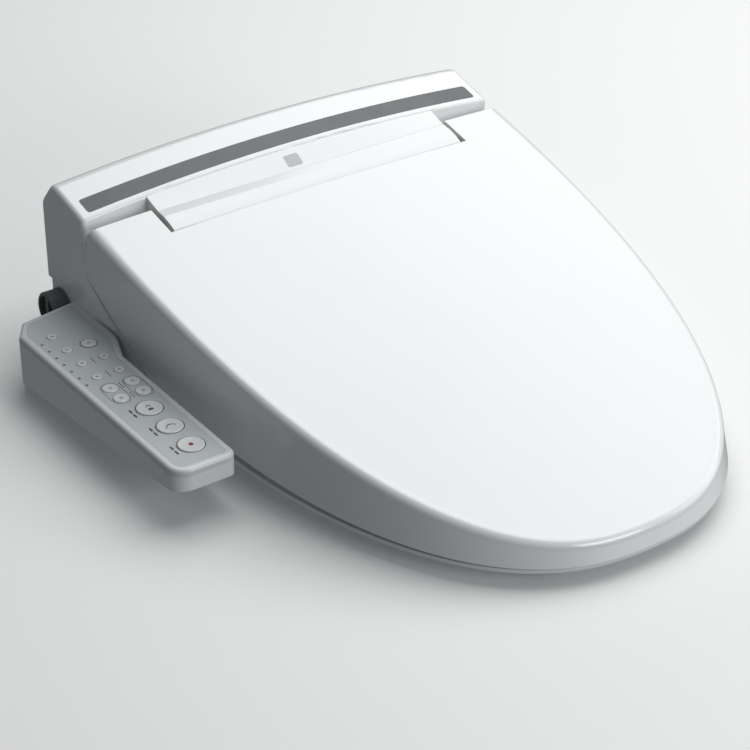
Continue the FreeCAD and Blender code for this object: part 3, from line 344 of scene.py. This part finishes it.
def lid_top(x, y):
    """Height of the top: a straight rise to the hinge, less a parabola across and one along."""
    tip = LID["centre"] - LID["length"]
    return (TOP_TIP_Z + TOP_SLOPE * (y - tip) + TOP_RISE - SIDE_FALL * (x / SIDE_REACH) ** 2
            - END_FALL * ((y - tip - CROWN_MIDDLE) / END_REACH) ** 2)


def rim_height(y):
    return RIM_TIP_Z + RIM_SLOPE * (y - LID_LOW[1])


def rim_half(y):
    """Half width at the rim: a superellipse in front, flaring as a square to the hinge end."""
    flare = RIM_FLARE * (np.clip(y - RIM["centre"], 0, None) / RIM_FLARE_RUN) ** 2
    front = half_width(RIM, np.minimum(y, RIM["centre"]))
    return np.where(y > RIM["centre"], RIM["half"] + flare, front)


def arc_shares(points):
    """Share of the whole length reached at each point of a line."""
    steps = np.r_[0, np.cumsum(np.linalg.norm(np.diff(points, axis=0), axis=1))]
    return steps / steps[-1]


def along(points, shares):
    """Points of a line at the given shares of its length."""
    known = arc_shares(points)
    return np.stack([np.interp(shares, known, points[:, i]) for i in range(points.shape[1])], -1)


def lid_angle(y):
    """Angle on the superellipse, drawn in by the shoulder's rounding, at which it crosses y."""
    return np.arcsin(((LID["centre"] - y) / (LID["length"] - SHOULDER_ROUND)) ** (LID["py"] / 2))


def lid_rows():
    """The y of each row of points: even steps over the ears, then equal angles to the tip."""
    ear_rows = np.linspace(EAR_EDGE[0, 0], NOTCH_Y, EAR_ROWS)
    sweep = np.linspace(lid_angle(NOTCH_Y), np.pi / 2, 90)[1:]
    main_rows = LID["centre"] - (LID["length"] - SHOULDER_ROUND) * np.sin(sweep) ** (2 / LID["py"])
    main_rows[-1] = LID["centre"] - LID["length"] + SHOULDER_ROUND
    return np.r_[ear_rows, main_rows]


def top_grids(rows):
    """The crowned top of the right half, in front of the notch and over the ear."""
    widths = half_width(LID, rows, SHOULDER_ROUND)
    last_ear = EAR_ROWS - 1
    notch_share = NOTCH_HALF / widths[last_ear]
    shares = np.r_[np.linspace(0, notch_share, 25)[:-1], np.linspace(notch_share, 1, 9)]
    x = widths[last_ear:, None] * shares
    y = np.repeat(rows[last_ear:, None], len(shares), 1)
    main = np.stack([x, y, lid_top(x, y)], -1)
    ear_x = NOTCH_HALF + (widths[:EAR_ROWS, None] - NOTCH_HALF) * np.linspace(0, 1, 9)
    ear_y = np.repeat(rows[:EAR_ROWS, None], 9, 1)
    ear = np.stack([ear_x, ear_y, lid_top(ear_x, ear_y)], -1)
    top_edge = np.stack([widths, rows, lid_top(widths, rows)], -1)
    return main, ear, top_edge


def shoulder_grid(rows, top_edge):
    """The rounded shoulder: a quarter ellipse from the top's edge out to the full superellipse."""
    angles = lid_angle(rows)
    angles[-1] = np.pi / 2
    c, s = np.cos(angles).clip(0), np.sin(angles)
    side_x = LID["half"] * c ** (2 / LID["px"])
    side_y = LID["centre"] - LID["length"] * s ** (2 / LID["py"])
    side_x[-1] = 0
    top_edge[-1, 0] = 0
    turn = np.linspace(0, np.pi / 2, 9)[:, None]
    outwards = np.stack([side_x - top_edge[:, 0], side_y - top_edge[:, 1]], -1)
    bend = np.concatenate([top_edge[None, :, :2] + outwards[None] * np.sin(turn)[..., None],
                           (top_edge[None, :, 2] - SHOULDER_ROUND * (1 - np.cos(turn)))[..., None]], -1)
    # the ear's rear edge pulls the first few columns back
    fade = np.clip(1 - np.arange(len(rows)) / 10, 0, 1) ** 2
    lift = EAR_EDGE[0, 1] - top_edge[0, 2]
    edge_y = np.interp(-(bend[..., 2] + lift), -EAR_EDGE[:, 1], EAR_EDGE[:, 0])
    bend[..., 1] += (edge_y - EAR_EDGE[0, 0]) * fade
    return bend, lift


def rear_side_grid(shoulder, lift, count, drops):
    """The side's rear part: a Coons patch in y and z between shoulder, ear edge, rim and front line.

    Its x lies between the shoulder's half width and the rim's, by how far down each point is.
    """
    below = EAR_EDGE[EAR_EDGE[:, 1] < shoulder[0, 2] + lift - 0.5]
    rear_edge = along(np.vstack([shoulder[0, 1:], below]), drops)
    foot = EAR_EDGE[-1]
    meet_y = (rim_height(0) - foot[1] + EAR_SLOPE * foot[0]) / (EAR_SLOPE - RIM_SLOPE)
    join = np.array([shoulder[count, 1], rim_height(shoulder[count, 1])])
    under = np.vstack([foot, (meet_y, rim_height(meet_y)), join])
    walk = arc_shares(shoulder[:count + 1, 1:])
    lower = along(under, walk)
    front_line = np.stack([np.full(SIDE_ROWS, join[0]),
                           shoulder[count, 2] + (join[1] - shoulder[count, 2]) * drops], -1)
    t, u = drops[:, None, None], walk[None, :, None]
    upper = shoulder[None, :count + 1, 1:]
    patch = ((1 - u) * rear_edge[:, None] + u * front_line[:, None] + (1 - t) * upper + t * lower[None]
             - (1 - t) * (1 - u) * upper[:, :1] - (1 - t) * u * upper[:, -1:]
             - t * (1 - u) * lower[None, :1] - t * u * lower[None, -1:])
    patch[:, 0] = rear_edge
    y, z = patch[..., 0], patch[..., 1]
    order = np.argsort(shoulder[:, 1])[::-1]
    shoulder_x = np.interp(-y, -shoulder[order, 1], shoulder[order, 0])
    level = lid_top(190, y) - SHOULDER_ROUND
    share = np.clip((level - z) / (level - rim_height(y)), 0, 1)
    x = shoulder_x * (1 - share) + rim_half(y) * share
    x[0] = shoulder[:count + 1, 0]
    return np.stack([x, y, z], -1)


def front_side_grid(shoulder, count, drops):
    """The side's front part: straight lines from the shoulder to the rim at equal shares of both."""
    join_y = shoulder[count, 1]
    rim_y = LID_LOW[1] + (join_y - LID_LOW[1]) * (1 - np.sin(np.linspace(0, np.pi / 2, 400)) ** 1.6)
    rim_y[-1] = LID_LOW[1]
    rim_line = np.stack([rim_half(rim_y), rim_y], -1)
    rim_line[-1, 0] = 0
    front = along(rim_line, arc_shares(shoulder[count:, :2]))
    rim_points = np.concatenate([front, rim_height(front[:, 1:])], -1)
    t = drops[:, None, None]
    return shoulder[None, count:] * (1 - t) + rim_points[None] * t


def lip_grid(bend, side_rear):
    """The lip across the ear's rear edge, from the notch out to the shoulder and side."""
    outer = np.vstack([bend[:, 0], side_rear[1:5, 0]])
    fall = np.linspace(0, 1, len(outer))[:, None]
    reach = np.linspace(0, 1, 9)[None]
    x = NOTCH_HALF + (outer[:, :1] - NOTCH_HALF) * reach
    rear_y = EAR_EDGE[0, 0]
    z = outer[:, 2:] + (lid_top(x, rear_y) - lid_top(outer[0, 0], rear_y)) * (1 - fall)
    return np.stack([x, outer[:, 1:2] + 0 * x, z], -1)


def lid_grids():
    """Point grids of the lid's right half; each shares its borders with its neighbours."""
    rows = lid_rows()
    main, ear, top_edge = top_grids(rows)
    bend, lift = shoulder_grid(rows, top_edge)
    shoulder = bend[-1]
    count = int(np.argmax(rows < REAR_SIDE_END))
    drops = np.linspace(0, 1, SIDE_ROWS)
    side_rear = rear_side_grid(shoulder, lift, count, drops)
    side_front = front_side_grid(shoulder, count, drops)
    return [main, ear, bend, side_rear, side_front, lip_grid(bend, side_rear)]


def make_lid():
    """The lid: one smooth shell from two mirrored halves, with a wall and softened edges."""
    right = lid_grids()
    left = [grid[:, ::-1] * (-1, 1, 1) for grid in right]
    lid = patches("lid_skin", right + left)
    outward(lid, (0, -230, 20))
    thicken(lid, WALL, edge=WALL_EDGE)
    fit_out(lid, "lid", "white_shell", "lid_shell")


def make_knuckles():
    """The lid's two hinge knuckles: a ring turned about the hinge line on each side."""
    for side, word in ((-1, "left"), (1, "right")):
        knuckle = turned("lid_knuckle_" + word, KNUCKLE_PROFILE, (0, HINGE_Y, HINGE_Z), "X")
        if side < 0:
            knuckle.data.transform(Matrix.Scale(-1, 4, (1, 0, 0)))
        outward(knuckle, (side * KNUCKLE_MIDDLE, HINGE_Y, HINGE_Z))
        fit_out(knuckle, "lid", "white_shell")


make_lid()
make_knuckles()


# ---------------------------------------------------------------- panel buttons and prints
LARGE_WIDTH = 18            # keys wider than this are large ones
LARGE_DISH = 0.35
SMALL_DISH = 0.12
FLANGE = 1.0                # width of the flange round a key's foot
FLANGE_HEIGHT = 1.2
KEY_ROUND = 0.6
LARGE_MARK_SINK = 0.36      # foot of a mark below a large key's rim
SMALL_MARK_SINK = 0.11
LARGE_KEYS = ("stop_button", "shower_button", "bidet_button")
KEY_PAIRS = (("pressure_down_button", "pressure_up_button"),
             ("position_front_button", "position_back_button"))
LABELLED_KEYS = ("massage_button", "move_button", "position_back_button", "position_front_button")
SMALL_KEYS = ("water_heat_button", "seat_heat_button", "energy_saver_button", "nozzle_clean_button",
              "massage_button", "move_button", "power_button", "position_back_button",
              "position_front_button", "pressure_up_button", "pressure_down_button")


def button(node, dish):
    """A round key turned about its axis: flanged foot, straight skirt, quarter-round rim.

    The face dips by dish at its middle, as one less the square of the radius.
    """
    low, high = corners(node)
    middle = (low + high) / 2
    foot = (high[0] - low[0]) / 2
    radius = foot - FLANGE
    top = high[2]
    ramp = np.linspace(0, np.pi / 2, 6)
    face_edge = radius - KEY_ROUND
    rim = np.stack([face_edge + KEY_ROUND * np.cos(ramp), top - KEY_ROUND + KEY_ROUND * np.sin(ramp)], -1)
    inner = np.linspace(1, 0, 12)[1:, None] * face_edge
    face = np.concatenate([inner, top - dish * (1 - (inner / face_edge) ** 2)], -1)
    shelf = low[2] + FLANGE_HEIGHT
    skirt = [(0, low[2]), (foot, low[2]), (foot, shelf), (radius, shelf)]
    piece = turned(node + "_key", np.vstack([skirt, rim, face]), (middle[0], middle[1], 0))
    outward(piece, (middle[0], middle[1], top - 1))
    body = node + "_key"
    fit_out(piece, body, frame_slot(node), node, material="button_white")
    return middle, radius, top, body


def frame_slot(node):
    """The material slot that the record names for a CAD node."""
    return next(entry["material_slot"] for entry in frame["record"]["subparts"] if entry["node"] == node)


def stamp(name, loops, z, body, material="print_dark", thick=0.05):
    """Thin printed marks, as closed bands of four rings.

    Each mark has an outer and an inner outline, both at z and again at z plus its thickness.
    """
    points, faces, start = [], [], 0
    for outer, inner in loops:
        count = len(outer)
        rings = [np.c_[outer, np.full(count, z)], np.c_[outer, np.full(count, z + thick)],
                 np.c_[inner, np.full(count, z + thick)], np.c_[inner, np.full(count, z)]]
        rings.append(rings[0])
        points.append(np.concatenate(rings))
        faces.append(grid_faces(5, count, start, close=True))
        start += 5 * count
    piece = build(name, np.concatenate(points), np.concatenate(faces), smooth=False)
    fit_out(piece, body, "dark_trim", material=material)
    return piece


def oval(x, y, radius_x, radius_y, steps=40, power=2.0):
    """A closed superellipse outline about (x, y)."""
    angle = np.linspace(0, 2 * np.pi, steps, endpoint=False)
    c, s = np.cos(angle), np.sin(angle)
    return np.stack([x + radius_x * np.sign(c) * abs(c) ** (2 / power),
                     y + radius_y * np.sign(s) * abs(s) ** (2 / power)], -1)


def hoop(x, y, radius_x, radius_y, line, power=2.0):
    """A ring outline and its inner edge."""
    return oval(x, y, radius_x, radius_y, 64, power), oval(x, y, radius_x - line, radius_y - line, 64, power)


def spot(x, y, radius_x, radius_y=None, power=2.0):
    """A filled mark: its inner edge shrinks to almost nothing."""
    radius_y = radius_y or radius_x
    return oval(x, y, radius_x, radius_y, 24, power), oval(x, y, 0.001, 0.001, 24, power)


def make_keys():
    """Every key, by its CAD node: its middle, radius, top height and body."""
    keys = {}
    for node in sorted(name for name in frame["nodes"] if name.endswith("_button")):
        if node == "release_button":
            continue
        low, high = corners(node)
        keys[node] = button(node, LARGE_DISH if high[0] - low[0] > LARGE_WIDTH else SMALL_DISH)
    return keys


def mark_stop(key):
    (x, y, _), _, top, body = key
    stamp("stop_mark", [spot(x, y, 1.7, 1.7, 8)], top - LARGE_MARK_SINK, body, "print_red", 0.1)


def mark_shower(key):
    """A curve of nine dots: a parabola in y about the fifth dot, flatter on its far side."""
    (x, y, _), _, top, body = key
    dots = []
    for i in range(9):
        across = -4.6 + 1.15 * i
        up = 2.6 - 0.30 * (i - 4) ** 2 * (0.55 if i > 4 else 1)
        dots.append(spot(x + across * 0.9, y + up * 0.8 - 0.5, 0.5))
    stamp("shower_mark", dots, top - LARGE_MARK_SINK, body, thick=0.22)


def mark_bidet(key):
    """A small rounded bar with six dots above it."""
    (x, y, _), _, top, body = key
    spray = [(-1.6, 1.9), (-1.2, 3.4), (0, 2.2), (0, 3.9), (1.6, 1.9), (1.2, 3.4)]
    shapes = [spot(x, y - 2.2, 2.2, 1.3, 3)]
    shapes += [spot(x + across, y + up, 0.45) for across, up in spray]
    stamp("bidet_mark", shapes, top - LARGE_MARK_SINK, body, thick=0.22)


def mark_rings(keys, film_top):
    """Thin rings round the large keys and the power key, and one round each pair of keys."""
    rings = []
    for node in LARGE_KEYS:
        (x, y, _), radius, _, _ = keys[node]
        rings.append(hoop(x, y, radius + 0.95, radius + 0.95, 0.45))
    (x, y, _), radius, _, _ = keys["power_button"]
    rings.append(hoop(x, y, radius + 1.1, radius + 1.1, 0.4))
    for first, second in KEY_PAIRS:
        (x, y0, _), radius, _, _ = keys[first]
        y1 = keys[second][0][1]
        around = radius + 1.6
        rings.append(hoop(x, (y0 + y1) / 2, around, around + abs(y1 - y0) / 2, 0.4, 3.2))
    stamp("panel_rings", rings, film_top, "main_unit")


def mark_bars(keys, film_top):
    """Plain bars beside the keys, where labels would be."""
    bars = []
    for node in LARGE_KEYS:
        x, y, _ = keys[node][0]
        bars += [spot(x - 14, y + shift, 0.8, 2.6, 6) for shift in (-3.4, 3.4)]
    for node in LABELLED_KEYS:
        x, y, _ = keys[node][0]
        bars += [spot(x - 9.6, y + shift, 0.35, 1.3, 6) for shift in (-3, 0, 3)]
    stamp("panel_bars", bars, film_top, "main_unit")


def mark_small_keys(keys):
    """Two short bars on each small key."""
    for node in SMALL_KEYS:
        (x, y, _), _, top, body = keys[node]
        shapes = [spot(x + shift, y, 0.3, 1.2, 6) for shift in (-0.7, 0.7)]
        stamp(node.replace("_button", "_mark"), shapes, top - SMALL_MARK_SINK, body, thick=0.08)


def mark_panel():
    """The keys, then every printed mark on them and on the film."""
    keys = make_keys()
    film_top = corners("panel_overlay")[1][2]
    mark_stop(keys["stop_button"])
    mark_shower(keys["shower_button"])
    mark_bidet(keys["bidet_button"])
    mark_rings(keys, film_top)
    mark_bars(keys, film_top)
    mark_small_keys(keys)


mark_panel()


# ---------------------------------------------------------------- floor, light and camera
def stage_floor():
    """A wide pale floor just under the object."""
    mesh = bpy.data.meshes.new("floor")
    floor_z = cad_box[0][2] - 0.0005
    reach = 6
    edge = [(x * reach, y * reach, floor_z) for x, y in ((-1, -1), (1, -1), (1, 1), (-1, 1))]
    mesh.from_pydata(edge, [], [(0, 1, 2, 3)])
    floor = bpy.data.objects.new("floor", mesh)
    bpy.context.scene.collection.objects.link(floor)
    material = bpy.data.materials.new("pale_floor")
    material.use_nodes = True
    shader = material.node_tree.nodes["Principled BSDF"]
    shader.inputs["Base Color"].default_value = (0.86, 0.86, 0.86, 1)
    shader.inputs["Roughness"].default_value = 0.9
    mesh.materials.append(material)
    # the floor shows and takes shadows, but sends no light back to the sides
    floor.visible_diffuse = False
    floor.visible_glossy = False


def area_light(name, place, target, size, power):
    """A soft rectangular light at place, pointed at target."""
    data = bpy.data.lights.new(name, "AREA")
    data.shape = "RECTANGLE"
    data.size, data.size_y = size
    data.energy = power
    lamp = bpy.data.objects.new(name, data)
    lamp.location = place
    lamp.rotation_euler = (Vector(target) - Vector(place)).to_track_quat("-Z", "Y").to_euler()
    bpy.context.scene.collection.objects.link(lamp)


def studio_world():
    world = bpy.data.worlds.new("studio")
    world.use_nodes = True
    background = world.node_tree.nodes["Background"]
    background.inputs["Color"].default_value = (0.90, 0.97, 1, 1)
    background.inputs["Strength"].default_value = 0.17
    bpy.context.scene.world = world
    bpy.context.scene.view_settings.view_transform = "Standard"


def place_camera(place, target):
    data = bpy.data.cameras.new("camera")
    data.lens = 115.23
    data.sensor_width = 36
    camera = bpy.data.objects.new("camera", data)
    camera.location = place
    camera.rotation_euler = (Vector(target) - camera.location).to_track_quat("-Z", "Y").to_euler()
    bpy.context.scene.collection.objects.link(camera)
    bpy.context.scene.camera = camera


stage_floor()
area_light("overhead", (0.85, 0.15, 1.75), (0.05, -0.2, 0), (2.2, 2.2), 37)
area_light("right_side", (1.9, -1.2, 0.9), (0, -0.2, 0.05), (1.4, 1.4), 10)
area_light("front", (0.55, -2.3, 0.75), (0, -0.25, 0.03), (1.2, 0.9), 19)
studio_world()
place_camera((-0.9405, -1.4875, 0.9974), (-0.0718, -0.2313, 0.060))
